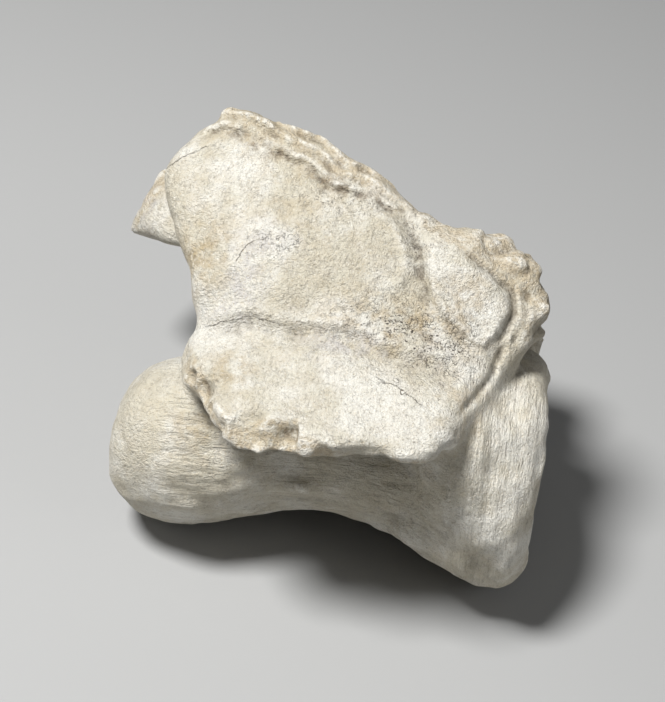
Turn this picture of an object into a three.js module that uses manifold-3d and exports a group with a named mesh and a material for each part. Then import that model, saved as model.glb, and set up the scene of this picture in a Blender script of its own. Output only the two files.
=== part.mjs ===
// A fossil neck vertebra of a brontothere, lying on its right side as it comes to rest on a table.
// The bone is shaped in its own anatomical frame, in millimetres: +X runs towards the tail, +Y to the
// animal's right and +Z to its back, with the origin on the axis of the centrum at half its length.
// It is then laid down on the three places that touch the table, and its box is centred on the origin.

import * as THREE from "three";
import { LoftGeometry } from "three/addons/geometries/LoftGeometry.js";
import { mergeVertices } from "three/addons/utils/BufferGeometryUtils.js";
import Module from "manifold-3d";

const wasm = await Module();
wasm.setup();

const LEFT = -1;
const RIGHT = 1;

// The centrum, head end to tail end: a ball in front, a waist, then a flared rim round a shallow cup.
// Each section has its floor and roof heights and its half width.
const CENTRUM = [
  { x: -57.5, low: -8, high: 0, half: 5 },
  { x: -56.8, low: -13, high: 6, half: 13 },
  { x: -53, low: -17, high: 14, half: 21 },
  { x: -46, low: -20.3, high: 20, half: 26 },
  { x: -36, low: -21.6, high: 22, half: 28 },
  { x: -24, low: -18.4, high: 22, half: 25 },
  { x: -8, low: -15, high: 23, half: 20.5 },
  { x: 8, low: -16.3, high: 24, half: 21 },
  { x: 24, low: -22.6, high: 26, half: 26.5 },
  { x: 34, low: -27.4, high: 29, half: 32.5 },
  { x: 42, low: -29.6, high: 31.5, half: 32.5 },
  { x: 47.5, low: -27.5, high: 32, half: 29.5 },
  { x: 52, low: -20, high: 27, half: 24 },
  { x: 54, low: -10, high: 17, half: 15 },
];

// The cup in the tail end, an oval bowl hollowed out inside the rim.
const CUP = { x: 57, z: 2.5, depth: 19, half: 23.5, height: 24 };

// Each side wall of the neural arch, from its root in the centrum up to its broken crest.
// Inner and outer are distances from the midplane, front and back are places along the bone.
const ARCH_WALL = [
  { z: 6, inner: 6, outer: 22, front: -34, back: 28 },
  { z: 18, inner: 10, outer: 31, front: -35, back: 29 },
  { z: 28, inner: 13, outer: 36.5, front: -36.5, back: 27 },
  { z: 40, inner: 13, outer: 36, front: -40, back: 23 },
  { z: 52, inner: 8, outer: 32.5, front: -45, back: 22 },
  { z: 59.5, inner: 9.5, outer: 29.5, front: -48.5, back: 20 },
  { z: 66.7, inner: 11.5, outer: 27, front: -50, back: 7.5 },
  { z: 74, inner: 13, outer: 25, front: -45.5, back: -5.5 },
  { z: 80, inner: 14, outer: 23, front: -40.5, back: -18 },
  { z: 83.6, inner: 15, outer: 21, front: -36.5, back: -28 },
];

// The roof of the canal between the walls, and the stump of the spine on it.
const ROOF = [
  { x: -30, low: 53, high: 55, half: 8 },
  { x: -26, low: 49, high: 59, half: 17 },
  { x: -14, low: 46, high: 62, half: 24 },
  { x: 4, low: 45, high: 63, half: 27 },
  { x: 24, low: 46, high: 59, half: 26 },
  { x: 33, low: 49, high: 55, half: 20 },
];
const SPINE_STUMP = [
  { x: -25, low: 52, high: 58, half: 3 },
  { x: -14, low: 50, high: 67, half: 5.5 },
  { x: 4, low: 50, high: 67.5, half: 6.5 },
  { x: 20, low: 50, high: 62, half: 5.5 },
  { x: 29, low: 51, high: 56, half: 3 },
];

// The canal for the spinal cord, cut through from end to end and wider at both mouths.
const CANAL = [
  { x: -75, low: 22, high: 56, half: 19 },
  { x: -42, low: 23, high: 53, half: 17 },
  { x: -20, low: 25, high: 50, half: 15 },
  { x: 10, low: 27, high: 49, half: 14 },
  { x: 34, low: 31, high: 51, half: 14.5 },
  { x: 70, low: 34, high: 53, half: 16 },
];

// The broken root of each side process: a blade that slopes out and down from the arch.
// Each section runs from its upper edge to its lower edge, given as distance out and height.
const LEFT_PROCESS = [
  { upOut: 20, upZ: 34, lowOut: 16, lowZ: 4, front: -37, back: 36, ragged: 0 },
  { upOut: 33, upZ: 31, lowOut: 27, lowZ: 6, front: -38, back: 36, ragged: 0 },
  { upOut: 42, upZ: 19, lowOut: 37, lowZ: 6, front: -34, back: 32, ragged: 0.2 },
  { upOut: 49, upZ: 10, lowOut: 45, lowZ: 0, front: -27, back: 28.5, ragged: 0.6 },
  { upOut: 53.5, upZ: 3.5, lowOut: 51, lowZ: -2.5, front: -19, back: 24.5, ragged: 1 },
  { upOut: 54.5, upZ: 0.5, lowOut: 53.5, lowZ: -1.5, front: -16, back: 22, ragged: 1 },
];
const RIGHT_PROCESS = [
  { upOut: 20, upZ: 34, lowOut: 16, lowZ: 4, front: -37, back: 36, ragged: 0 },
  { upOut: 32, upZ: 31, lowOut: 27, lowZ: 6, front: -36, back: 34, ragged: 0 },
  { upOut: 39, upZ: 20, lowOut: 36, lowZ: 7, front: -30, back: 27, ragged: 0.3 },
  { upOut: 43.5, upZ: 11, lowOut: 41.5, lowZ: 4, front: -22, back: 18, ragged: 0.7 },
  { upOut: 44.5, upZ: 8.5, lowOut: 43.5, lowZ: 6, front: -19, back: 15, ragged: 0.7 },
];

// The rear joint process of each side, and the front one, which only the right side still has.
// Lean is how much further out the top of a section stands than its middle.
const REAR_JOINT = [
  { x: 10, low: 36, high: 54, inner: 18, outer: 30, lean: 0 },
  { x: 18, low: 26, high: 58, inner: 14, outer: 34, lean: -2 },
  { x: 28, low: 15, high: 58, inner: 12, outer: 35, lean: -3 },
  { x: 37, low: 12, high: 56, inner: 13, outer: 32.5, lean: -3 },
  { x: 44, low: 27, high: 53, inner: 14, outer: 28, lean: -2 },
  { x: 49, low: 35, high: 47, inner: 16, outer: 24, lean: 0 },
];
const FRONT_JOINT = [
  { x: -68.5, low: 57, high: 61, inner: 29, outer: 34, lean: 1 },
  { x: -66, low: 55.5, high: 65, inner: 26, outer: 38, lean: 2.5 },
  { x: -60, low: 55, high: 73, inner: 21, outer: 36, lean: 5 },
  { x: -50, low: 52, high: 76, inner: 15, outer: 32, lean: 5 },
  { x: -38, low: 46, high: 71, inner: 12, outer: 30, lean: 0 },
];

// The rough lumps of broken bone behind each rear joint process.
const LUMP_COUNT = 7;
const LUMP_RADIUS = [3.5, 5.5];
const LUMP_FLATNESS = 0.75;
const LUMP_ARC = { x: 35, z: 43, radius: 10, from: -0.35, to: 1.55 };
const LUMP_OUT = [18, 23];
const LUMP_SEED = 11;

// How each body is ringed: the sides of its rings and how square they are, 2 being an oval.
const CENTRUM_RING = { sides: 44, squareness: 2.15 };
const ROOF_RING = { sides: 28, squareness: 2.2 };
const SPINE_RING = { sides: 16, squareness: 2.4 };
const CANAL_RING = { sides: 28, squareness: 2.3 };
const WALL_RING = { sides: 40, squareness: 3.2 };
const PROCESS_RING = { sides: 48, squareness: 3 };
const REAR_JOINT_RING = { sides: 28, squareness: 2.4 };
const FRONT_JOINT_RING = { sides: 24, squareness: 2.6 };
const STEPS_PER_SPAN = 3;

// How the joined skin is eased: no edge shorter than this, then so many rounds of rounding.
const SHORTEST_EDGE = 1.7;
const EASE_ROUNDS = 8;
const EASE_IN = 0.5;
const EASE_OUT = -0.52;
const LEAST_FACING = 0.3;

// How the bone lies: the three places that carry it, and how much is worn flat at each.
const FIRST_ROLL = 42;
const FIRST_PITCH = 3;
const WORN_FLAT = 0.7;
const HEAD_END_X = -24;
const TAIL_END_X = 26;
const PROCESS_OUT = 38;
const LAY_ROUNDS = 12;
const TABLE_SIZE = 400;

const BONE = new THREE.MeshStandardMaterial({ color: 0xe0dac9, roughness: 0.82, metalness: 0 });

// A closed three.js geometry as a solid that can be joined and cut.
function solid(geometry) {
  const plain = new THREE.BufferGeometry().copy(geometry);
  plain.deleteAttribute("normal");
  plain.deleteAttribute("uv");
  const shared = mergeVertices(plain);
  const vertProperties = new Float32Array(shared.attributes.position.array);
  const triVerts = new Uint32Array(shared.index.array);
  return new wasm.Manifold(new wasm.Mesh({ numProp: 3, vertProperties, triVerts }));
}

// A smooth curve through the named values of a list of sections.
function between(sections) {
  const names = Object.keys(sections[0]);
  const places = sections.map((section, index) => index);
  const values = sections.flatMap((section) => names.map((name) => section[name]));
  const curve = new THREE.CubicInterpolant(places, values, names.length, new Float64Array(names.length));
  return (place) => {
    const result = curve.evaluate(place);
    return Object.fromEntries(names.map((name, index) => [name, result[index]]));
  };
}

// A skin over rings that follow the sections, closed at both ends.
function loft(sections, ring, turning, pointOf) {
  const sectionAt = between(sections);
  const rings = [];
  for (let step = 0; step <= (sections.length - 1) * STEPS_PER_SPAN; step += 1) {
    const section = sectionAt(step / STEPS_PER_SPAN);
    const turn = (turning * 2 * Math.PI) / ring.sides;
    const angles = Array.from({ length: ring.sides }, (item, side) => side * turn);
    rings.push(angles.map((angle) => pointOf(section, ...roundedSquare(angle, ring.squareness))));
  }
  return solid(new LoftGeometry(rings, { capStart: true, capEnd: true }));
}

// A point of a rounded square of half size 1, as its places across and up.
function roundedSquare(angle, squareness) {
  const bulge = (value) => Math.sign(value) * Math.abs(value) ** (2 / squareness);
  return [bulge(Math.cos(angle)), bulge(Math.sin(angle))];
}

// The value at a place from -1 to 1 between two ends.
const span = (from, to, place) => THREE.MathUtils.lerp(from, to, (place + 1) / 2);

// A body on the midplane: the centrum, the roof, the spine's stump or the canal.
function midBody(sections, ring) {
  return loft(sections, ring, 1, (section, across, up) => {
    return new THREE.Vector3(section.x, section.half * across, span(section.low, section.high, up));
  });
}

// A body on one side that runs along the bone.
function sideBody(sections, ring, side) {
  return loft(sections, ring, side, (section, across, up) => {
    const out = span(section.inner, section.outer, across) + section.lean * up;
    return new THREE.Vector3(section.x, side * out, span(section.low, section.high, up));
  });
}

// A wall on one side that stands up from the centrum.
function archWall(side) {
  return loft(ARCH_WALL, WALL_RING, side, (section, across, up) => {
    const out = span(section.inner, section.outer, up);
    return new THREE.Vector3(span(section.front, section.back, across), side * out, section.z);
  });
}

// How far a broken edge stands out or in along the bone.
const brokenEdge = (x) => 1.3 * Math.sin(0.27 * x + 0.6) + 0.8 * Math.sin(0.55 * x - 0.8);

// A side process that slopes out from the arch to its broken edge.
function sideProcess(sections, side) {
  return loft(sections, PROCESS_RING, -side, (section, across, up) => {
    const x = span(section.front, section.back, across);
    const out = span(section.lowOut, section.upOut, up) + section.ragged * brokenEdge(x);
    const height = span(section.lowZ, section.upZ, up) - section.ragged * brokenEdge(x);
    return new THREE.Vector3(x, side * out, height);
  });
}

// The bowl that hollows the tail end.
function cup() {
  const bowl = new THREE.SphereGeometry(1, 36, 24);
  bowl.scale(CUP.depth, CUP.half, CUP.height);
  bowl.translate(CUP.x, 0, CUP.z);
  return solid(bowl);
}

// Random numbers between two ends, the same on every run.
function seededRandom(seed) {
  const multiplier = 16807;
  const modulus = 2 ** 31 - 1;
  let state = seed;
  return ([low, high]) => {
    state = (state * multiplier) % modulus;
    return THREE.MathUtils.lerp(low, high, state / modulus);
  };
}

// Rough lumps sunk into the back of a rear joint process, up round its top.
function lumps(side) {
  const random = seededRandom(LUMP_SEED + side);
  const pieces = [];
  for (let index = 0; index < LUMP_COUNT; index += 1) {
    const angle = THREE.MathUtils.lerp(LUMP_ARC.from, LUMP_ARC.to, index / (LUMP_COUNT - 1));
    const x = LUMP_ARC.x + LUMP_ARC.radius * Math.cos(angle);
    const z = LUMP_ARC.z + LUMP_ARC.radius * Math.sin(angle);
    const lump = new THREE.IcosahedronGeometry(random(LUMP_RADIUS), 1);
    lump.scale(1, 1, LUMP_FLATNESS);
    lump.rotateY(random([0, Math.PI]));
    lump.translate(x, side * random(LUMP_OUT), z);
    pieces.push(solid(lump));
  }
  return pieces;
}

// The whole bone joined into one body, with the canal and the cup cut out of it.
function wholeBone() {
  const joined = [
    midBody(CENTRUM, CENTRUM_RING),
    midBody(ROOF, ROOF_RING),
    midBody(SPINE_STUMP, SPINE_RING),
    sideProcess(LEFT_PROCESS, LEFT),
    sideProcess(RIGHT_PROCESS, RIGHT),
    sideBody(FRONT_JOINT, FRONT_JOINT_RING, RIGHT),
  ];
  for (const side of [LEFT, RIGHT]) {
    joined.push(archWall(side), sideBody(REAR_JOINT, REAR_JOINT_RING, side), ...lumps(side));
  }
  const bone = joined.reduce((sum, piece) => sum.add(piece));
  return bone.subtract(midBody(CANAL, CANAL_RING)).subtract(cup());
}

// The vertices of a solid as points.
function pointsOf(body) {
  const { vertProperties } = body.getMesh();
  const points = [];
  for (let start = 0; start < vertProperties.length; start += 3) {
    points.push(new THREE.Vector3().fromArray(vertProperties, start));
  }
  return points;
}

// The triangles of a solid as triples of vertex numbers.
function facesOf(body) {
  const { triVerts } = body.getMesh();
  const faces = [];
  for (let start = 0; start < triVerts.length; start += 3) {
    faces.push(Array.from(triVerts.slice(start, start + 3)));
  }
  return faces;
}

const normalOf = (face, points) =>
  new THREE.Triangle(...face.map((corner) => points[corner])).getNormal(new THREE.Vector3());

// Draws the ends of each short edge together, wherever the skin stays closed and no face turns over.
function drawTogether(points, faces) {
  const facesAt = points.map(() => new Set());
  faces.forEach((face) => face.forEach((corner) => facesAt[corner].add(face)));
  const around = (corner) => new Set([...facesAt[corner]].flat());
  for (const keep of points.keys()) {
    for (const drop of around(keep)) {
      if (drop === keep || points[keep].distanceTo(points[drop]) > SHORTEST_EDGE) continue;
      const shared = [...facesAt[keep]].filter((face) => facesAt[drop].has(face));
      const common = [...around(keep)].filter((corner) => around(drop).has(corner));
      if (shared.length !== 2 || common.length !== 4) continue;
      const kept = [...facesAt[keep], ...facesAt[drop]].filter((face) => !shared.includes(face));
      const before = kept.map((face) => normalOf(face, points));
      const places = [points[keep], points[drop]];
      const middle = places[0].clone().lerp(places[1], 0.5);
      points[keep] = middle;
      points[drop] = middle;
      if (kept.some((face, index) => normalOf(face, points).dot(before[index]) < LEAST_FACING)) {
        [points[keep], points[drop]] = places;
        continue;
      }
      shared.forEach((face) => face.forEach((corner) => facesAt[corner].delete(face)));
      for (const face of facesAt[drop]) {
        face[face.indexOf(drop)] = keep;
        facesAt[keep].add(face);
      }
      facesAt[drop].clear();
    }
  }
  return [...new Set(facesAt.flatMap((set) => [...set]))];
}

// Rounds a skin by moving each vertex towards the middle of its neighbours, then part of the way back.
function ease(points, faces) {
  const neighbours = points.map(() => new Set());
  for (const [a, b, c] of faces) {
    neighbours[a].add(b).add(c);
    neighbours[b].add(c).add(a);
    neighbours[c].add(a).add(b);
  }
  const move = (share) => {
    const middles = neighbours.map((set) => {
      const sum = new THREE.Vector3();
      set.forEach((corner) => sum.add(points[corner]));
      return sum.divideScalar(Math.max(set.size, 1));
    });
    points.forEach((point, index) => neighbours[index].size && point.lerp(middles[index], share));
  };
  for (let round = 0; round < EASE_ROUNDS; round += 1) {
    move(EASE_IN);
    move(EASE_OUT);
  }
}

// The bone with its seams drawn together and its creases rounded.
function eased(bone) {
  const points = pointsOf(bone);
  const faces = drawTogether(points, facesOf(bone));
  ease(points, faces);
  const geometry = new THREE.BufferGeometry().setFromPoints(faces.flat().map((corner) => points[corner]));
  return solid(geometry);
}

// The turn that lays the bone on the lowest point of its ball, its rim and its right process.
function layDown(points) {
  const groups = [
    points.filter((point) => point.x < HEAD_END_X && point.y < PROCESS_OUT),
    points.filter((point) => point.x > TAIL_END_X && point.y < PROCESS_OUT),
    points.filter((point) => point.y > PROCESS_OUT && point.x > HEAD_END_X),
  ];
  const up = new THREE.Vector3();
  const pitch = new THREE.Matrix4().makeRotationY(THREE.MathUtils.degToRad(-FIRST_PITCH));
  const turn = new THREE.Matrix4().makeRotationX(THREE.MathUtils.degToRad(-FIRST_ROLL)).premultiply(pitch);
  for (let round = 0; round < LAY_ROUNDS; round += 1) {
    up.set(0, 0, 1).transformDirection(turn.clone().transpose());
    const [head, tail, process] = groups.map((group) =>
      group.reduce((low, point) => (point.dot(up) < low.dot(up) ? point : low)),
    );
    up.crossVectors(tail.clone().sub(head), process.clone().sub(head)).normalize();
    const ahead = new THREE.Vector3(1, 0, 0).addScaledVector(up, -up.x).normalize();
    const aside = new THREE.Vector3().crossVectors(up, ahead);
    turn.makeBasis(ahead, aside, up).transpose();
  }
  return turn;
}

// The bone with its three resting places worn flat at one level.
function wornFlat(bone, turn, level) {
  const table = new THREE.BoxGeometry(TABLE_SIZE, TABLE_SIZE, TABLE_SIZE);
  table.translate(0, 0, level + WORN_FLAT - TABLE_SIZE / 2);
  table.applyMatrix4(turn.clone().transpose());
  return bone.subtract(solid(table));
}

// A solid as a three.js geometry.
function geometryOf(body) {
  const mesh = body.getMesh();
  const geometry = new THREE.BufferGeometry();
  geometry.setAttribute("position", new THREE.BufferAttribute(new Float32Array(mesh.vertProperties), 3));
  geometry.setIndex(new THREE.BufferAttribute(new Uint32Array(mesh.triVerts), 1));
  geometry.computeVertexNormals();
  return geometry;
}

// The upright box round points once they are turned.
function boxOf(points, turn) {
  return new THREE.Box3().setFromPoints(points.map((point) => point.clone().applyMatrix4(turn)));
}

// The fossil as a named mesh, laid down with the middle of its underside on the origin.
function vertebra() {
  const bone = eased(wholeBone());
  const turn = layDown(pointsOf(bone));
  const laid = wornFlat(bone, turn, boxOf(pointsOf(bone), turn).min.z);
  const box = boxOf(pointsOf(laid), turn);
  const mesh = new THREE.Mesh(geometryOf(laid), BONE);
  mesh.name = "vertebra";
  mesh.quaternion.setFromRotationMatrix(turn);
  mesh.position.set(-(box.min.x + box.max.x) / 2, -(box.min.y + box.max.y) / 2, -box.min.z);
  return mesh;
}

const fossil = new THREE.Group();
fossil.add(vertebra());

export default fossil;
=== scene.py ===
# %% [markdown]
# # A fossil neck vertebra
# A broken neck bone of a brontothere lies on its right side on a pale floor. This lesson loads the plain
# solid of the bone, carves a weathered skin out of it, gives that skin a fossil finish, and lights it as
# in a studio.

import bpy
import numpy as np
import openvdb
from mathutils import Matrix, Vector


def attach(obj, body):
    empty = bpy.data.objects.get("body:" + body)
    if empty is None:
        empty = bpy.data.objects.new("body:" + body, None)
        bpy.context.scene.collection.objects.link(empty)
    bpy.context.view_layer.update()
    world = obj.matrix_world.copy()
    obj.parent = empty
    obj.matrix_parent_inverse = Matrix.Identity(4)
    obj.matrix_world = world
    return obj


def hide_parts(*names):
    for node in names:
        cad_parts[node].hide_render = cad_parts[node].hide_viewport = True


MM = 0.001
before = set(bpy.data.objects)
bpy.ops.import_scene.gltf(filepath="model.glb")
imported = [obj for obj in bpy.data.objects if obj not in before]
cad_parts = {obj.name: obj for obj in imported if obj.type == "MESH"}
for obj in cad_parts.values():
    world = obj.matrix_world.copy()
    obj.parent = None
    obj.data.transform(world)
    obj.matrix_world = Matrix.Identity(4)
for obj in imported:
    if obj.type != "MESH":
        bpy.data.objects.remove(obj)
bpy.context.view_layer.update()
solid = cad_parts["vertebra"]

# %% [markdown]
# ## The camera
# A still picture is best matched by placing the camera first. It could be dragged by eye, but five plain
# values say the same and can be read again later: the turn round the bone, the height, the tilt of the
# picture, the point looked at and how far away that is. The lens is long, so the near end of the bone
# isn't swollen.

# %% Place the camera
CAMERA_TURN = np.radians(2.717)
CAMERA_HEIGHT = np.radians(39.07)
CAMERA_TILT = np.radians(7.87)
CAMERA_TARGET = np.array([2.57, -2.19, 48.25]) * MM
CAMERA_DISTANCE = 0.450
CAMERA_LENS = 89.54
SENSOR_WIDTH = 36.0


def camera_axes(turn, height, tilt):
    """Right, up and forward of a camera turned about Z, looking down by its height, tilted in its picture."""
    level = np.array([np.cos(turn), np.sin(turn), 0.0])
    forward = np.array([-np.sin(turn) * np.cos(height), np.cos(turn) * np.cos(height), -np.sin(height)])
    upright = np.cross(level, forward)
    right = level * np.cos(tilt) + upright * np.sin(tilt)
    return right, np.cross(right, forward), forward


right, up, forward = camera_axes(CAMERA_TURN, CAMERA_HEIGHT, CAMERA_TILT)
lens = bpy.data.cameras.new("camera")
lens.lens = CAMERA_LENS
lens.sensor_width = SENSOR_WIDTH
lens.sensor_fit = "AUTO"
camera = bpy.data.objects.new("camera", lens)
turned = Matrix(np.column_stack([right, up, -forward]).tolist()).to_4x4()
camera.matrix_world = Matrix.Translation(CAMERA_TARGET - CAMERA_DISTANCE * forward) @ turned
bpy.context.scene.collection.objects.link(camera)
bpy.context.scene.camera = camera
print("camera at", [round(value, 3) for value in camera.location])

# %% [markdown]
# ## The bone's own directions
# Bones are described along their own axes: towards the tail, to the animal's right, and to its back. The
# bone lies tipped over, so every mark on it would need awkward slanted numbers in the floor's frame. One
# turn and one shift take the solid back to its own upright frame in millimetres, and the finished skin is
# laid down again.

# %% Stand the solid upright
BONE_ROLL = np.radians(43.984)
BONE_PITCH = np.radians(4.591)
BONE_PLACE = np.array([8.173, -18.579, 27.763])


def lying_turn(roll, pitch):
    """Rows of the bone's directions on the floor: up leans by roll and pitch, ahead stays beside X."""
    above = np.array([np.sin(pitch), -np.cos(pitch) * np.sin(roll), np.cos(pitch) * np.cos(roll)])
    ahead = np.array([1.0, 0.0, 0.0]) - above * above[0]
    ahead /= np.linalg.norm(ahead)
    return np.array([ahead, np.cross(above, ahead), above])


def corners_of(mesh):
    """The mesh's vertices as rows of three numbers, and its triangles as rows of three vertex numbers."""
    places = np.empty(len(mesh.vertices) * 3, np.float32)
    mesh.vertices.foreach_get("co", places)
    mesh.calc_loop_triangles()
    triangles = np.empty(len(mesh.loop_triangles) * 3, np.int32)
    mesh.loop_triangles.foreach_get("vertices", triangles)
    return places.reshape(-1, 3), triangles.reshape(-1, 3)


turn = lying_turn(BONE_ROLL, BONE_PITCH)
places, triangles = corners_of(solid.data)
merged, first_use = np.unique(np.round(places / (0.001 * MM)), axis=0, return_inverse=True)
upright = (merged * 0.001 - BONE_PLACE) @ turn
faces = first_use.reshape(-1)[triangles]
print("upright bone from", upright.min(0).round(1), "to", upright.max(0).round(1), "mm")

# %% [markdown]
# ## A block to carve
# The bone branches, has a hole through it and overhangs, so no single sheet over two parameters can be
# its skin. A sculptor's block can: every point of a fine grid in space stores its distance to the skin,
# negative inside. Whole-array sums then carve it. Taking a height away from the distances raises the skin
# by that height, the larger of two distances cuts, and the smaller one joins.

# %% Fill the block with distances
GRAIN = 0.6
BAND = 14
BLOCK_LOW = np.array([-76.0, -62.0, -38.0])
BLOCK_HIGH = np.array([62.0, 56.0, 94.0])

first_cell = np.floor(BLOCK_LOW / GRAIN).astype(int)
cells = np.ceil((BLOCK_HIGH - BLOCK_LOW) / GRAIN).astype(int)
along, across, height = [(first_cell[axis] + np.arange(cells[axis])) * GRAIN for axis in range(3)]
scale = openvdb.createLinearTransform(voxelSize=GRAIN)
level_set = openvdb.FloatGrid.createLevelSetFromPolygons(
    upright.astype(np.float32), triangles=faces.astype(np.uint32), transform=scale, halfWidth=BAND
)
block = np.empty(cells, np.float32)
level_set.copyToArray(block, ijk=tuple(int(value) for value in first_cell))
print("block of", block.shape, "cells, inside share", round(float((block < 0).mean()), 3))

# %% [markdown]
# ## Tools for carving
# Four small tools do all the carving. A soft step fades one thing into another. A blur rounds creases.
# Noise gives bumps of a chosen size, longer one way than another where bone has a grain. A path tool
# tells how far every point of the bone's side is from a drawn line, and on which side of it.

# %% Soft steps, blur and noise
def soft_step(value, start, end):
    """0 before start and 1 after end, with 3t² − 2t³ between them."""
    t = np.clip((value - start) / (end - start), 0, 1)
    return t * t * (3 - 2 * t)


def hump(value, middle, width):
    """A rounded ridge: e to the minus square of the distance from the middle, in widths."""
    return np.exp(-(((value - middle) / width) ** 2))


def blurred(values, spread):
    """A weighted mean along each axis in turn, with bell-shaped weights of the given spread in cells."""
    reach = int(np.ceil(3 * spread))
    weights = np.exp(-0.5 * (np.arange(-reach, reach + 1) / spread) ** 2)
    weights = (weights / weights.sum()).astype(np.float32)
    for axis in range(values.ndim):
        border = [(reach, reach) if other == axis else (0, 0) for other in range(values.ndim)]
        wide = np.pad(values, border, "edge")
        wide = np.moveaxis(wide, axis, 0)
        length = values.shape[axis]
        values = np.moveaxis(sum(w * wide[s:s + length] for s, w in enumerate(weights)), 0, axis)
    return values


def spline_weights(places, step):
    """The share that each knot of a row has at each place: the four pieces of a cubic B-spline."""
    knot = (places - places[0]) / step
    cell = np.floor(knot).astype(int)
    t = knot - cell
    pieces = [(1 - t) ** 3, 3 * t**3 - 6 * t**2 + 4, -3 * t**3 + 3 * t**2 + 3 * t + 1, t**3]
    shares = np.zeros((len(places), cell.max() + 4), np.float32)
    for offset, piece in enumerate(pieces):
        shares[np.arange(len(places)), cell + offset] = piece / 6
    return shares


def noise(steps, seed, axes=None):
    """Random heights on a coarse lattice, carried to every cell by splines, with a spread of a half."""
    shares = [spline_weights(places, step) for places, step in zip(axes or (along, across, height), steps)]
    lattice = [share.shape[1] for share in shares]
    values = np.random.default_rng(seed).uniform(-1, 1, lattice).astype(np.float32)
    for share in shares:
        values = np.tensordot(values, share, axes=([0], [1]))
    return values * (0.5 / values.std())


def side_noise(step, seed):
    """The same noise over the side view only."""
    return noise((step, step), seed, (along, height))


print("side noise spans", side_noise(6, 1).min().round(2), "to", side_noise(6, 1).max().round(2))

# %% Distance from a drawn line
def path_distance(path, x, z):
    """Signed distance to a line of points, positive on its left, and the share of its length there."""
    path = np.array(path, float)
    lengths = np.linalg.norm(np.diff(path, axis=0), axis=1)
    starts = np.concatenate([[0.0], np.cumsum(lengths)])
    best = np.full(np.shape(x), np.inf)
    signed = np.zeros(np.shape(x))
    share = np.zeros(np.shape(x))
    for (ax, az), (bx, bz), length, start in zip(path[:-1], path[1:], lengths, starts):
        dx, dz = (bx - ax) / length, (bz - az) / length
        t = np.clip((x - ax) * dx + (z - az) * dz, 0, length)
        gap = np.hypot(x - ax - t * dx, z - az - t * dz)
        side = np.where(dx * (z - az) - dz * (x - ax) >= 0, 1.0, -1.0)
        near = gap < best - 1e-9
        best = np.where(near, gap, best)
        signed = np.where(near, side * gap, signed)
        share = np.where(near, (start + t) / starts[-1], share)
    return signed, share


def outline_distance(path, x, z):
    """Distance to a closed outline, negative inside, where a ray crosses it an odd number of times."""
    closed = list(path) + [path[0]]
    inside = np.zeros(np.shape(x), bool)
    for (ax, az), (bx, bz) in zip(closed[:-1], closed[1:]):
        straddles = (az > z) != (bz > z)
        inside ^= straddles & (x < (bx - ax) * (z - az) / (bz - az + 1e-12) + ax)
    gap = np.abs(path_distance(closed, x, z)[0])
    return np.where(inside, -gap, gap)


def ends_fade(share, part=0.12):
    """1 along a line and 0 at its two ends."""
    return soft_step(share, 0, part) * soft_step(share, 1, 1 - part)


side_x, side_z = np.meshgrid(along, height, indexing="ij")
x, y, z = along[:, None, None], across[None, :, None], height[None, None, :]
print("side view of", side_x.shape, "cells")

# %% [markdown]
# ## Round the creases
# The solid's bodies meet in sharp creases, but real bone flows from one part into the next. Blurring the
# distances gives every inner crease a small fillet and every outer edge a worn round in one step.

# %% Blur the block
FILLET = 1.5
block = blurred(block, FILLET)
print("rounded, inside share", round(float((block < 0).mean()), 3))

# %% [markdown]
# ## Relief on the two flanks
# Seen from the side, the arch, the joint process and the ledge carry low relief: ridges, grooves and
# dished faces a millimetre or two deep. Each is drawn as a height over the side view and taken off the
# distances where the skin faces out. Both sides get the same anatomy, because a vertebra is two-sided.

# %% Draw the relief of the arch
CREST_STEP = [
    (-44, 74.5), (-40, 77), (-36, 78.2), (-31, 76.6), (-25.8, 74.1), (-20.8, 72.5), (-14.6, 71),
    (-11.5, 68.9), (-7.9, 65.8), (-2, 64.4), (5.7, 62.3), (10.9, 59.8), (15, 57.5),
]
FRONT_BEVEL = [(-52, 63.5), (-44.4, 69.1), (-38.2, 72.4), (-33, 78)]
PLATEAU_RIM = [(-3, 64), (3, 62.5), (9.6, 58), (14, 51), (15.3, 44), (13, 39.5), (8, 37)]
JOINT_VALLEY = [(8, 61.5), (13.6, 57.2), (17, 50), (18.3, 44), (19.2, 39), (21, 34)]
BROW = [
    (-35, 25), (-26.5, 28.8), (-21.7, 29.9), (-13, 28.4), (-2.2, 28.8), (5.1, 27.9), (11.5, 25.6),
    (19.9, 24.5), (27, 23.5), (33, 21),
]
HOLLOW_RIDGE = [(-34, 55), (-32.7, 51.6), (-29.5, 44.1), (-28, 39)]
JOINT_CREASE = [(42, 37), (40.3, 32.5), (38.6, 27.5), (37, 21.5), (34.5, 17), (31.5, 12.5), (29, 8)]

wobble = 1.1 * side_noise(6, 11) + 0.7 * side_noise(2.6, 12)


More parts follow.
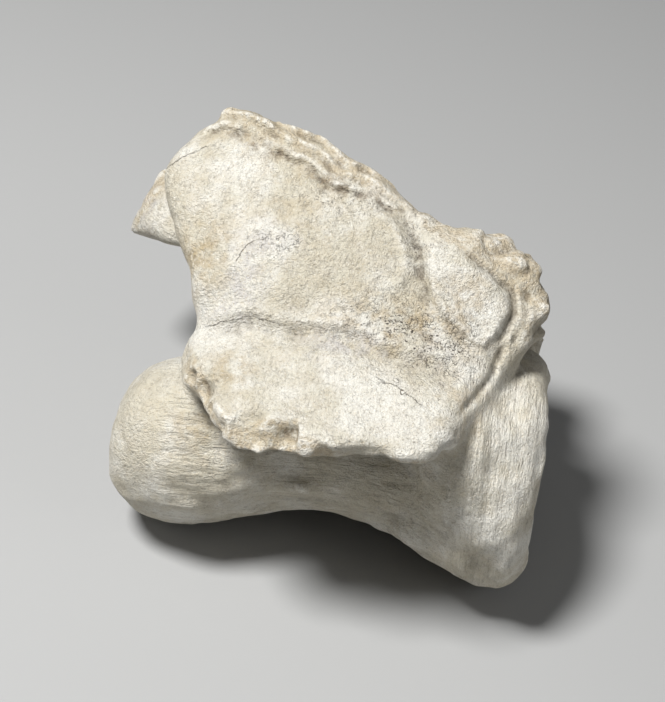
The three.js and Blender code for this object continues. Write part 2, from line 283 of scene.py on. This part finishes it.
def arch_relief(x, z):
    """Sum of steps, ridges and grooves across drawn lines, in millimetres outwards."""
    crest, crest_share = path_distance(CREST_STEP, x, z)
    on_path = soft_step(crest_share, 0.0, 0.1) * soft_step(crest_share, 1.0, 0.86)
    ragged = crest + wobble
    layers = np.sin(2 * np.pi * (crest + 0.9 * wobble) / 3.4)
    lift = 0.5 * soft_step(ragged, -0.4, 0.6) - 0.9 * hump(ragged, -1.6, 2.2) * soft_step(wobble, -0.8, 0.4)
    lift -= 0.5 * hump(ragged, -0.3, 0.7) * soft_step(wobble, -0.4, 0.5)
    lift = (lift + 0.5 * layers * soft_step(ragged, 0.8, 2.2)) * on_path
    bevel, bevel_share = path_distance(FRONT_BEVEL, x, z)
    lift -= 0.3 * np.clip(bevel, 0, 7) * ends_fade(bevel_share, 0.15)
    rim, rim_share = path_distance(PLATEAU_RIM, x, z)
    lift += (0.7 * hump(rim, -1.0, 1.2) - 0.4 * hump(rim, 1.8, 1.6)) * ends_fade(rim_share, 0.2)
    valley, valley_share = path_distance(JOINT_VALLEY, x, z)
    lift -= 1.3 * hump(valley, 0, 2.0) * ends_fade(valley_share, 0.25)
    brow, brow_share = path_distance(BROW, x, z)
    lift += (0.9 * hump(brow, 1.5, 1.7) - 1.2 * hump(brow, -3.2, 3.0)) * ends_fade(brow_share)
    crease, crease_share = path_distance(JOINT_CREASE, x, z)
    lift -= 1.4 * hump(crease, 0, 0.9) * ends_fade(crease_share, 0.25)
    lift -= 1.1 * hump(x, -37, 8) * hump(z, 43, 9)
    ridge, ridge_share = path_distance(HOLLOW_RIDGE, x, z)
    return lift + 0.6 * hump(ridge, 0, 1.3) * ends_fade(ridge_share, 0.3)


arch_lift = arch_relief(side_x, side_z)
print("arch relief from", arch_lift.min().round(2), "to", arch_lift.max().round(2), "mm")

# %% Draw the relief of the rear joint
JOINT_FACE = [
    (20.1, 52), (18.2, 49.5), (18.9, 44.2), (21.7, 38.3), (25.5, 33.8), (31, 29.8), (34.5, 28.8),
    (37.6, 32.7), (39.5, 37.7), (38.6, 42.3), (34.3, 45.9), (28, 49.2), (24.5, 51.3),
]


def joint_relief(x, z):
    """A dished face with a raised rim, then nested folds behind it at growing distances from its outline."""
    gap = outline_distance(JOINT_FACE, x, z) + 0.35 * wobble
    behind = soft_step(x + 0.45 * (z - 40), 30, 36) * soft_step(z, 26, 32)
    lift = 0.8 * soft_step(gap, 1.4, -1.0) - 0.8 * soft_step(gap, -1.5, -6.5)
    lift += 0.5 * hump(gap, -0.9, 0.9) * soft_step(z + 0.5 * (x - 30), 48, 36)
    low_side = soft_step(z, 47, 42)
    folds = -1.2 * hump(gap, 1.4, 0.8) + low_side * (0.5 * hump(gap, 3.0, 0.9) - 0.8 * hump(gap, 4.7, 0.8))
    return lift + behind * folds


joint_lift = joint_relief(side_x, side_z)
print("joint relief from", joint_lift.min().round(2), "to", joint_lift.max().round(2), "mm")

# %% Press the relief into both flanks
FLANK = (15, 21)


def outwards(start, end):
    """0 nearer the midplane than start and 1 farther than end, on both sides alike."""
    return soft_step(np.abs(y), start, end)


block = block - ((arch_lift + joint_lift)[:, None, :] * outwards(*FLANK)).astype(np.float32)
print("block now spans", block.min().round(1), "to", block.max().round(1))

# %% [markdown]
# ## The web behind the ledge
# At its tail end the ledge doesn't stand free: bone sweeps from it on to the rim of the centrum. An
# egg-shaped body is joined on there. A plain smaller-of-two would leave a crease all round it, so the
# join is softened.

# %% Join the web
WEB = {"middle": (29.5, 26.5, 4), "radii": (9.5, 11.5, 14), "softness": 7.0}


def egg(middle, radii, out):
    """Rough distance to an egg: its distance in radii from the middle, less one, times the least radius."""
    terms = [((values - centre) / radius) ** 2 for values, centre, radius in zip((x, out, z), middle, radii)]
    return (np.sqrt(sum(terms)) - 1) * min(radii)


def joined(first, second, softness):
    """The smaller of two distances, rounded where they come within the softness of each other."""
    share = np.clip(0.5 + 0.5 * (second - first) / softness, 0, 1)
    return (second + (first - second) * share - softness * share * (1 - share)).astype(np.float32)


block = joined(block, egg(WEB["middle"], WEB["radii"], np.abs(y)), WEB["softness"])
print("web joined, inside share", round(float((block < 0).mean()), 4))

# %% [markdown]
# ## The front joint process
# Only the right one is left, and it stands out past the arch on the far side. Its front and lower edges
# are snapped straight, so an egg fills out its upper corner and two planes then trim it.

# %% Trim the front joint process
FLAP_FRONT = [(-51.3, 94.6), (-72.8, 39.7)]
FLAP_FOOT = [(-90, 60.9), (-40, 51.6)]
FLAP_CORNER = {"middle": (-59, 29, 64.5), "radii": (8.5, 6.5, 12), "softness": 4.0}
block = joined(block, egg(FLAP_CORNER["middle"], FLAP_CORNER["radii"], y), FLAP_CORNER["softness"])
on_flap = soft_step(y, 6, 9) * soft_step(x, -44, -48)
front_gap, _ = path_distance(FLAP_FRONT, side_x, side_z)
foot_gap, _ = path_distance(FLAP_FOOT, side_x, side_z)
trim = np.clip(np.maximum(-front_gap, -foot_gap), -9, 9)[:, None, :] - 20 * (1 - on_flap)
block = np.maximum(block, trim).astype(np.float32)
print("flap trimmed, inside share", round(float((block < 0).mean()), 4))

# %% [markdown]
# ## The broken ledge
# The left side process is snapped off. Its upper plate ends in a thin ragged lip, and below it shows the
# crumbly inside of the bone. A plane with noise added to it makes such a break: it cuts the edge back,
# and the noise leaves crumbs. Two small hollows at the front end are pockets where the inside has fallen
# out.

# %% Break the edge of the ledge
LEFT = -1
UPPER_LIP = [
    (-38, 24), (-32, 17.5), (-28.4, 12.4), (-26.8, 8.1), (-24.7, 4.7), (-21.1, 2.1), (-18.7, 2.3),
    (-14, 5), (-5.8, 5.9), (-4.9, 2.6), (-2.3, 1.8), (1.2, 0.8), (3.6, -0.7), (7.1, -1.3), (15, -0.4),
    (19.6, -0.8), (25.2, 0.1), (31, 4), (36, 8),
]
POCKETS = [(-30.5, 43.5, 10.3, 3.4), (-28.6, 46, 5.6, 2.0), (-33.5, 39.5, 13.5, 2.0), (-24, 50, 1.5, 1.6)]

out = LEFT * y
crumbs = 0.9 * noise((2.4, 2.4, 2.4), 21) + 0.7 * noise((4.5, 4.5, 4.5), 22)
scoop = soft_step(x, -26, -20) * soft_step(x, -2.5, -6.5)
scoop_gap = out - (51.3 + 0.25 * (z - 5.9)) - 6 * (1 - scoop) - 0.8 * crumbs
block = np.maximum(block, np.where(out > 30, scoop_gap, -9)).astype(np.float32)
for px, pout, pz, radius in POCKETS:
    pocket = radius - np.sqrt((x - px) ** 2 + (out - pout) ** 2 + (z - pz) ** 2) + 0.7 * crumbs
    block = np.maximum(block, pocket).astype(np.float32)
print("broken edge cut, inside share", round(float((block < 0).mean()), 4))

# %% Crumble the broken faces
lip, _ = path_distance(UPPER_LIP, side_x, side_z)
under_lip = soft_step(lip, 0.6, -1.0)[:, None, :] * soft_step(out, 30, 40) * soft_step(x, 28, 22)
above_joint = soft_step(x, 29, 33) * soft_step(z, 50, 53)
behind_joint = np.maximum(soft_step(x, 38, 43) * soft_step(z, 27, 33), above_joint) * outwards(8, 14)
crest_gap, _ = path_distance(CREST_STEP, side_x, side_z)
on_crest = soft_step(crest_gap, 0.5, 3)[:, None, :] * outwards(5, 10)
right_break = soft_step(y, 38, 42) * soft_step(z, 26, 18)
broken = np.clip(under_lip + 0.4 * behind_joint + 0.8 * on_crest + right_break, 0, 1)
knobs = 2.4 * np.abs(noise((5.0, 5.0, 4.0), 23)) + 0.7 * np.abs(noise((2.6, 2.6, 2.2), 24)) - 1.0
on_lip = hump(lip, 0.3, 1.6)[:, None, :] * soft_step(out, 40, 46)
undercut = 1.3 * hump(lip, -2.6, 1.4)[:, None, :] * soft_step(out, 36, 44)
undercut *= soft_step(x, -1, 5) * soft_step(x, 26, 20)
crumbled = 0.75 * crumbs * np.maximum(broken, 1.4 * on_lip) + knobs * behind_joint
block = (block + undercut - crumbled).astype(np.float32)
print("crumbled share of the block", round(float((broken > 0.5).mean()), 3))

# %% [markdown]
# ## Ball, waist and rim
# The centrum has a worn ball in front, a waist with a small knob on its side, a ventral flange towards
# the tail, and a rim with wrinkles round it. Its fibres run along the waist and round the rim, so the
# noise for them is stretched the same way: long steps along the grain and short steps across it.

# %% Carve the centrum
KNOB = (-6.8, -9.8, 3.0, 1.8, 2.3)
FLANGE_GROOVE = [(2, -11.5), (13.4, -13.4), (18.6, -14.4), (26.4, -17), (34.2, -20.6), (41, -24)]

knob_x, knob_z, knob_long, knob_high, knob_lift = KNOB
groove, groove_share = path_distance(FLANGE_GROOVE, side_x, side_z)
waist_lift = -1.9 * hump(groove, 0, 3.0) * soft_step(groove_share, 0.1, 0.5)
waist_lift += knob_lift * hump(side_x, knob_x, knob_long) * hump(side_z, knob_z, knob_high)
block = block - (waist_lift[:, None, :] * outwards(4, 8)).astype(np.float32)

fibres = 0.3 * noise((14, 4, 2.2), 31) + 0.34 * noise((7, 2.2, 1.3), 32)
wrinkles = 0.22 * noise((2.0, 12, 12), 33) + 0.2 * noise((1.2, 6, 6), 34)
off_cup = soft_step(np.hypot(y, z - 2.5), 21, 27)
on_rim = soft_step(x, 26, 36) * soft_step(z, 30, 24) * off_cup
off_ball = 0.25 + 0.75 * soft_step(x, -48, -36)
on_waist = soft_step(x, 34, 24) * soft_step(z, 12, 4) * off_ball * outwards(40, 34)
block = block - (on_rim * wrinkles + on_waist * fibres).astype(np.float32)
print("waist relief from", waist_lift.min().round(2), "to", waist_lift.max().round(2), "mm")

# %% [markdown]
# ## Weathering all over
# Long burial left the surface gently uneven at every size. Three noises, each about half as coarse and
# half as high as the one before, give that without a pattern the eye can follow.

# %% Weather the skin
WEATHER = [(11, 0.75, 41), (5, 0.4, 42), (2.4, 0.24, 43)]
weather = sum(lift * noise((step, step, step), seed) for step, lift, seed in WEATHER)
block = (block - weather).astype(np.float32)
print("weathering spans", weather.min().round(2), "to", weather.max().round(2), "mm")

# %% [markdown]
# ## The skin
# Where the distances pass through zero lies the skin. It is drawn out as small four-sided faces, laid down as
# the solid lies, and kept off the floor. It stands for the plain solid.

# %% Draw the skin out of the block
carved = openvdb.FloatGrid(GRAIN * BAND)
carved.copyFromArray(block, ijk=tuple(int(value) for value in first_cell), tolerance=0.0)
carved.transform = scale
skin_points, skin_faces = carved.convertToQuads(isovalue=0.0)
skin_points = np.array(skin_points, float)
skin_faces = np.array(skin_faces)[:, ::-1]
print("skin of", len(skin_points), "points and", len(skin_faces), "faces")


# %% Keep the largest piece
def connected(faces, count):
    """Labels that spread along faces until no label changes: each point takes the least label it touches."""
    labels = np.arange(count)
    while True:
        least = labels[faces].min(axis=1)
        spread = labels.copy()
        np.minimum.at(spread, faces, least[:, None])
        spread = spread[spread]
        if np.array_equal(spread, labels):
            return labels
        labels = spread


labels = connected(skin_faces, len(skin_points))
main = np.bincount(labels).argmax()
kept = labels == main
renumber = np.cumsum(kept) - 1
skin_faces = renumber[skin_faces[kept[skin_faces[:, 0]]]]
skin_points = skin_points[kept]
print("kept", len(skin_points), "points; dropped", int((~kept).sum()))

# %% Make the skin object
MOST_TRIANGLES = 196000


def new_piece(name, points, faces):
    """A mesh object at the origin, its points and faces given as whole arrays."""
    mesh = bpy.data.meshes.new(name)
    mesh.vertices.add(len(points))
    mesh.vertices.foreach_set("co", np.asarray(points, np.float32).ravel())
    mesh.loops.add(faces.size)
    mesh.loops.foreach_set("vertex_index", faces.astype(np.int32).ravel())
    mesh.polygons.add(len(faces))
    mesh.polygons.foreach_set("loop_start", np.arange(0, faces.size, faces.shape[1], dtype=np.int32))
    mesh.polygons.foreach_set("use_smooth", np.ones(len(faces), bool))
    mesh.update(calc_edges=True)
    mesh.validate()
    piece = bpy.data.objects.new(name, mesh)
    bpy.context.scene.collection.objects.link(piece)
    return piece


def thinned(piece, keep, most):
    """Fewer triangles, taken first where the keep value is low, by collapsing short edges on flat places."""
    group = piece.vertex_groups.new(name="thin")
    for step in range(11):
        chosen = np.flatnonzero(np.round((1 - keep) * 10) == step)
        group.add(chosen.tolist(), step / 10, "REPLACE")
    thinner = piece.modifiers.new("thin", "DECIMATE")
    thinner.ratio = most / sum(len(face.vertices) - 2 for face in piece.data.polygons)
    thinner.vertex_group = "thin"
    thinner.vertex_group_factor = 1.0
    bare = bpy.data.meshes.new_from_object(piece.evaluated_get(bpy.context.evaluated_depsgraph_get()))
    piece.modifiers.clear()
    piece.vertex_groups.clear()
    piece.data = bare
    return piece


skin = new_piece("bone_skin", skin_points, skin_faces)
keep = soft_step(skin_points[:, 1], 6, -14)
thinned(skin, keep, MOST_TRIANGLES)
skin_points, skin_faces = corners_of(skin.data)
skin_points = skin_points.astype(float)
laid = skin_points @ turn.T + BONE_PLACE
laid[:, 2] = np.maximum(laid[:, 2], 0.0)
skin.data.vertices.foreach_set("co", (laid * MM).astype(np.float32).ravel())
skin.data.polygons.foreach_set("use_smooth", np.ones(len(skin.data.polygons), bool))
skin.data.update()
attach(skin, "root")
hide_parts("vertebra")
print("skin has", len(skin_faces), "triangles")

# %% [markdown]
# ## Marks for the finish
# The stains follow the shape, so they are worked out from the same block: hollows hold dirt and painted
# shade, edges are rubbed pale, and broken places show the tan inside. Each is stored as a number on every
# point of the skin, and the material reads them by name.

# %% Read the block at the skin
def sampled(values, points):
    """The value at each point, mixed from the eight cells round it by how near they are."""
    cell = points / GRAIN - first_cell
    low = np.clip(np.floor(cell).astype(int), 0, cells - 2)
    t = cell - low
    total = np.zeros(len(points))
    for i in (0, 1):
        for j in (0, 1):
            for k in (0, 1):
                share = np.abs(1 - i - t[:, 0]) * np.abs(1 - j - t[:, 1]) * np.abs(1 - k - t[:, 2])
                total += share * values[low[:, 0] + i, low[:, 1] + j, low[:, 2] + k]
    return total


fine_bend = sampled(blurred(block, 2.0) - block, skin_points)
broad_bend = sampled(blurred(block, 5.0) - block, skin_points)
print("fine bends:", np.percentile(fine_bend, [2, 50, 98]).round(2))
print("broad bends:", np.percentile(broad_bend, [2, 50, 98]).round(2))


# %% Store the marks
def mark(name, values):
    """A number on every point of the skin, under a name that the material reads."""
    layer = skin.data.attributes.new(name, "FLOAT", "POINT")
    layer.data.foreach_set("value", np.clip(values, -100, 100).astype(np.float32))


# Blobs over the side view: x, z, width, height and strength. Most are stains. The tan and grey blobs at (-60,
# 63) are painted shade on the front joint process. The grey blob at (2, 25) below the brow is partly grey
# tone and partly painted shade.
STAINS_AND_PAINTED_SHADE = {
    "tan": [
        (-36, 44, 8, 9, 0.8), (-23.4, 16, 5, 4, 0.9), (29, 41, 6, 7, 0.5), (15, 31, 17, 7, 0.95),
        (-30, 2, 9, 5, 0.7), (30.6, 13.4, 6, 7, 0.5), (-12, 57, 12, 7, 0.3), (40, 50, 8, 6, 0.5),
        (2, 68, 22, 5, 0.6), (-25, 77, 16, 4, 0.7), (-60, 63, 6, 8, 0.9),
    ],
    "grey": [
        (-24, 40, 4.5, 10, 0.8), (-29, 31, 5, 4, 0.7), (2, 25, 11, 3.5, 0.8), (-17, 49, 6, 4, 0.5),
        (24, 26, 6, 5, 0.5), (-60, 63, 6, 8, 0.9),
    ],
    "speckle": [
        (27, 24, 8, 6, 1.0), (16, 54, 4, 7, 0.8), (15, 31, 15, 7, 1.1), (-17, 49, 7, 3.5, 0.8),
        (-50, 57, 5, 4, 0.6), (-7, 60, 12, 6, 0.4),
    ],
}
px, py, pz = skin_points.T
on_flank = soft_step(np.abs(py), 14, 22)
for name, blobs in STAINS_AND_PAINTED_SHADE.items():
    total = sum(share * hump(px, bx, wide) * hump(pz, bz, tall) for bx, bz, wide, tall, share in blobs)
    mark(name, total * on_flank)
groove_gap, groove_share = path_distance(CREST_STEP, px, pz)
valley_gap, valley_share = path_distance(JOINT_VALLEY, px, pz)
brown = hump(groove_gap, -0.5, 1.6) * ends_fade(groove_share)
brown += 0.3 * hump(valley_gap, 0, 1.4) * ends_fade(valley_share)
mark("brown", brown * on_flank)
mark("broken", sampled(broken, skin_points))
# This mark darkens concave places, fine and broad: partly dirt, partly painted shade in hollows, creases and
# under the ledge.
mark("dirt_and_shade_in_hollows", np.maximum(soft_step(fine_bend, -0.05, -0.5), 0.3 * soft_step(broad_bend, -0.5, -1.8)))
mark("edge", soft_step(fine_bend, 0.08, 0.6))
mark("rim", sampled(np.broadcast_to(on_rim, cells), skin_points))
ball_share = 0.25 + 0.75 * soft_step(px, -48, -36)
mark("waist", soft_step(px, 34, 24) * soft_step(pz, 14, 4) * ball_share * soft_step(np.abs(py), 40, 34))
place = skin.data.attributes.new("place", "FLOAT_VECTOR", "POINT")
place.data.foreach_set("vector", skin_points.astype(np.float32).ravel())
print("marks:", [layer.name for layer in skin.data.attributes if not layer.is_internal])

# %% [markdown]
# ## Cracks
# Hair cracks are far thinner than the faces of the skin. Each point stores its signed distance to the
# nearest crack instead. That changes evenly across a face, so the material can draw a line at zero as
# thin as it likes.

# %% Store the distance to the cracks
CRACKS = [
    [(-33.5, 26), (-26, 28.4), (-21.2, 29.9), (-18, 29.2), (-12.5, 28)],
    [(9.4, 18.2), (12.7, 16.6), (15.5, 16.4), (17.6, 14.9), (22.7, 11.6)],
    [(15.2, 18.6), (15.9, 16.5), (17.2, 13.8)],
    [(-27, 42), (-26.1, 44.4), (-25, 46.8), (-22.3, 48.6)],
    [(-50, 65.5), (-44.4, 69.1), (-38.2, 72.4)],
]
crack_gap = np.full(len(px), 50.0)
for path in CRACKS:
    gap, share = path_distance(path, px, pz)
    gap = gap + np.sign(gap) * 3 * (1 - ends_fade(share, 0.06))
    crack_gap = np.where(np.abs(gap) < np.abs(crack_gap), gap, crack_gap)
mark("crack", np.where(py < -14, crack_gap, 50.0))
print("points near a crack:", int((np.abs(crack_gap) < 1).sum()))

# %% [markdown]
# ## The fossil finish
# The real bone is cream to ivory, dull, with tan and grey patches, brown in the grooves and fine dark specks
# that are drawn out along the grain. One material mixes these in layers, each with its own mask: the stored
# marks say where, and procedural noise breaks up their borders. The same masks give a fine bump, and noise
# gives the roughness.

# %% Node helpers
bone = bpy.data.materials.new("fossil_bone")
bone.use_nodes = True
tree = bone.node_tree
shader = tree.nodes["Principled BSDF"]


def node(kind, inputs=None, **settings):
    """A new node with its settings, its sockets set to values or linked to other sockets."""
    made = tree.nodes.new(kind)
    for name, value in settings.items():
        setattr(made, name, value)
    for name, value in (inputs or {}).items():
        if isinstance(value, bpy.types.NodeSocket):
            tree.links.new(value, made.inputs[name])
        else:
            made.inputs[name].default_value = value
    return made


def math(operation, a, b=0.0, clamp=False):
    """One sum on two values."""
    return node("ShaderNodeMath", {0: a, 1: b}, operation=operation, use_clamp=clamp).outputs[0]


def ramp(value, start, end):
    """0 before start and 1 after end, smoothly."""
    span = {"Value": value, "From Min": start, "From Max": end}
    return node("ShaderNodeMapRange", span, interpolation_type="SMOOTHSTEP").outputs["Result"]


def mix(share, below, above):
    """A colour laid over another by a share."""
    return node("ShaderNodeMix", {0: share, 6: below, 7: above}, data_type="RGBA").outputs[2]


def stored(name):
    """A mark that was stored on the skin."""
    return node("ShaderNodeAttribute", attribute_name=name).outputs["Fac"]


place_on_bone = node("ShaderNodeAttribute", attribute_name="place").outputs["Vector"]


def stretched(scale):
    """Places on the bone, multiplied along its own three axes."""
    return node("ShaderNodeVectorMath", {0: place_on_bone, 1: scale}, operation="MULTIPLY").outputs[0]


def cloud(scale, detail=4.0, roughness=0.55, vector=None, warp=0.0):
    """Soft noise from 0 to 1 with so many waves to a millimetre."""
    where = vector or place_on_bone
    look = {"Vector": where, "Scale": scale, "Detail": detail, "Roughness": roughness, "Distortion": warp}
    return node("ShaderNodeTexNoise", look).outputs["Fac"]


def specks(scale, size, vector):
    """Round dots: 1 within a size of the nearest of scattered points and 0 outside."""
    made = node("ShaderNodeTexVoronoi", {"Vector": vector, "Scale": scale}, feature="F1")
    return ramp(made.outputs["Distance"], size, size * 0.45)


# %% Noise at the bone's own scales
broad = cloud(0.055, 5, 0.6)
middle = cloud(0.23, 5, 0.6)
patchy = cloud(0.45, 5, 0.65)
fine = cloud(1.1, 4, 0.65)
finest = cloud(2.6, 3, 0.6)
fibres = cloud(1.0, 4, 0.65, stretched((0.2, 0.9, 1.2)), 0.5)
rings = cloud(1.0, 4, 0.65, stretched((1.15, 0.22, 0.22)), 0.5)
threads = math("ABSOLUTE", math("SUBTRACT", cloud(0.75, 3, 0.55), 0.5))
worms = ramp(threads, 0.028, 0.006)
waist_share = stored("waist")
rim_share = stored("rim")
plain_share = math("SUBTRACT", 1.0, math("MAXIMUM", waist_share, rim_share), True)
grain = math("MULTIPLY", fine, plain_share)
grain = math("ADD", grain, math("MULTIPLY", fibres, waist_share))
rim_only = math("MULTIPLY", rim_share, math("SUBTRACT", 1.0, waist_share))
grain = math("ADD", grain, math("MULTIPLY", rings, rim_only))
print("noise uses", len(tree.nodes), "nodes")

# %% Layer the colours
CREAM = (0.60, 0.56, 0.455, 1)
IVORY = (0.77, 0.75, 0.68, 1)
TAN = (0.435, 0.33, 0.18, 1)
LAVENDER = (0.50, 0.475, 0.465, 1)
BROWN = (0.20, 0.14, 0.08, 1)
SPONGY = (0.56, 0.46, 0.31, 1)
# A dark colour for dirt in the grain, for cracks, and for painted shade in hollows.
DIRT_AND_SHADE = (0.13, 0.105, 0.075, 1)
SPECK = (0.10, 0.085, 0.07, 1)
RUBBED = (0.86, 0.835, 0.76, 1)


def laid_over(below, above, strength, *shares):
    """A colour laid over another by a strength and the product of its masks."""
    share = strength
    for mask in shares:
        share = math("MULTIPLY", mask, share)
    return mix(share, below, above)


colour = mix(ramp(broad, 0.40, 0.62), CREAM, IVORY)
# The tan and grey marks are mostly stains, but they also hold painted shade on the front joint process and
# below the brow.
colour = laid_over(colour, TAN, 0.75, math("ADD", stored("tan"), 0.22), ramp(middle, 0.36, 0.66))
grey_share = math("ADD", stored("grey"), 0.10)
colour = laid_over(colour, LAVENDER, 0.75, grey_share, ramp(cloud(0.3, 5, 0.65), 0.38, 0.62))
colour = laid_over(colour, SPONGY, 0.75, stored("broken"), ramp(patchy, 0.32, 0.60))
colour = laid_over(colour, RUBBED, 0.7, stored("edge"), ramp(patchy, 0.62, 0.42))
colour = laid_over(colour, RUBBED, 0.55, ramp(grain, 0.55, 0.74))
colour = laid_over(colour, TAN, 0.50, ramp(finest, 0.52, 0.72))
colour = laid_over(colour, DIRT_AND_SHADE, 0.42, ramp(grain, 0.45, 0.28))
colour = laid_over(colour, BROWN, 0.62, stored("brown"), ramp(patchy, 0.38, 0.66))
# Painted shade, with some dirt, darkens the hollows and creases here.
colour = laid_over(colour, DIRT_AND_SHADE, 0.62, stored("dirt_and_shade_in_hollows"), ramp(patchy, 0.25, 0.62))

small = specks(1.15, 0.30, stretched((0.55, 1.0, 1.0)))
tiny = specks(2.3, 0.28, stretched((0.6, 1.0, 1.0)))
chosen = ramp(cloud(0.35, 5, 0.7), 0.46, 0.62)
dotted = math("MULTIPLY", chosen, math("ADD", stored("speckle"), 0.28))
dots = math("MULTIPLY", math("MAXIMUM", small, tiny), dotted)
hairy = math("MULTIPLY", ramp(patchy, 0.42, 0.58), math("ADD", stored("speckle"), 0.35))
hairs = math("MULTIPLY", worms, hairy)
colour = laid_over(colour, SPECK, 0.85, dots)
colour = laid_over(colour, SPECK, 0.62, hairs)
bent = math("ADD", stored("crack"), math("MULTIPLY", math("SUBTRACT", patchy, 0.5), 2.2))
crack_line = ramp(math("ABSOLUTE", bent), 0.15, 0.03)
colour = laid_over(colour, DIRT_AND_SHADE, 0.7, crack_line, ramp(middle, 0.36, 0.52))
print("colour layers use", len(tree.nodes), "nodes")

# %% Roughness and bump
BUMP_HEIGHT = 0.0011
relief = math("ADD", grain, math("MULTIPLY", finest, 0.35))
relief = math("ADD", relief, math("MULTIPLY", patchy, 0.8))
relief = math("SUBTRACT", relief, math("MULTIPLY", dots, 0.30))
relief = math("SUBTRACT", relief, math("MULTIPLY", hairs, 0.22))
relief = math("SUBTRACT", relief, math("MULTIPLY", crack_line, 0.45))
bump = node("ShaderNodeBump", {"Height": relief, "Distance": BUMP_HEIGHT, "Strength": 1.0})
tree.links.new(colour, shader.inputs["Base Color"])
tree.links.new(bump.outputs["Normal"], shader.inputs["Normal"])
rough = node("ShaderNodeMapRange", {"Value": middle, "To Min": 0.72, "To Max": 0.92}).outputs["Result"]
tree.links.new(rough, shader.inputs["Roughness"])
shader.inputs["Specular IOR Level"].default_value = 0.35
skin.data.materials.append(bone)
print("finish uses", len(tree.nodes), "nodes")

# %% [markdown]
# ## Floor and light
# A plain pale floor keeps the eye on the bone. One broad soft light from above and to the left shapes it,
# a weaker one fills the right, and a dim even sky keeps the shadows open.

# %% Lay the floor
FLOOR_HALF = 2.0
floor_points = np.array([[-1, -1, 0], [1, -1, 0], [1, 1, 0], [-1, 1, 0]]) * FLOOR_HALF
floor = new_piece("floor", floor_points, np.array([[0, 1, 2, 3]]))
floor_paint = bpy.data.materials.new("pale_floor")
floor_paint.use_nodes = True
floor_shader = floor_paint.node_tree.nodes["Principled BSDF"]
floor_shader.inputs["Base Color"].default_value = (0.37, 0.37, 0.365, 1)
floor_shader.inputs["Roughness"].default_value = 0.9
floor.data.materials.append(floor_paint)

# %% Hang the lights
LIGHTS = {
    "key": ((-0.32, -0.22, 0.85), 0.24, 13.4),
    "fill": ((0.75, -0.30, 0.55), 0.60, 1.2),
}
for name, (spot, size, power) in LIGHTS.items():
    lamp = bpy.data.lights.new(name, "AREA")
    lamp.shape = "DISK"
    lamp.size = size
    lamp.energy = power
    holder = bpy.data.objects.new(name, lamp)
    holder.location = spot
    aim = Vector(CAMERA_TARGET.tolist()) - Vector(spot)
    holder.rotation_euler = aim.to_track_quat("-Z", "Y").to_euler()
    bpy.context.scene.collection.objects.link(holder)

sky = bpy.data.worlds.new("sky")
sky.use_nodes = True
sky.node_tree.nodes["Background"].inputs["Color"].default_value = (0.95, 0.97, 1.0, 1)
sky.node_tree.nodes["Background"].inputs["Strength"].default_value = 0.09
bpy.context.scene.world = sky
bpy.context.scene.view_settings.view_transform = "Standard"
print("lights:", list(LIGHTS))
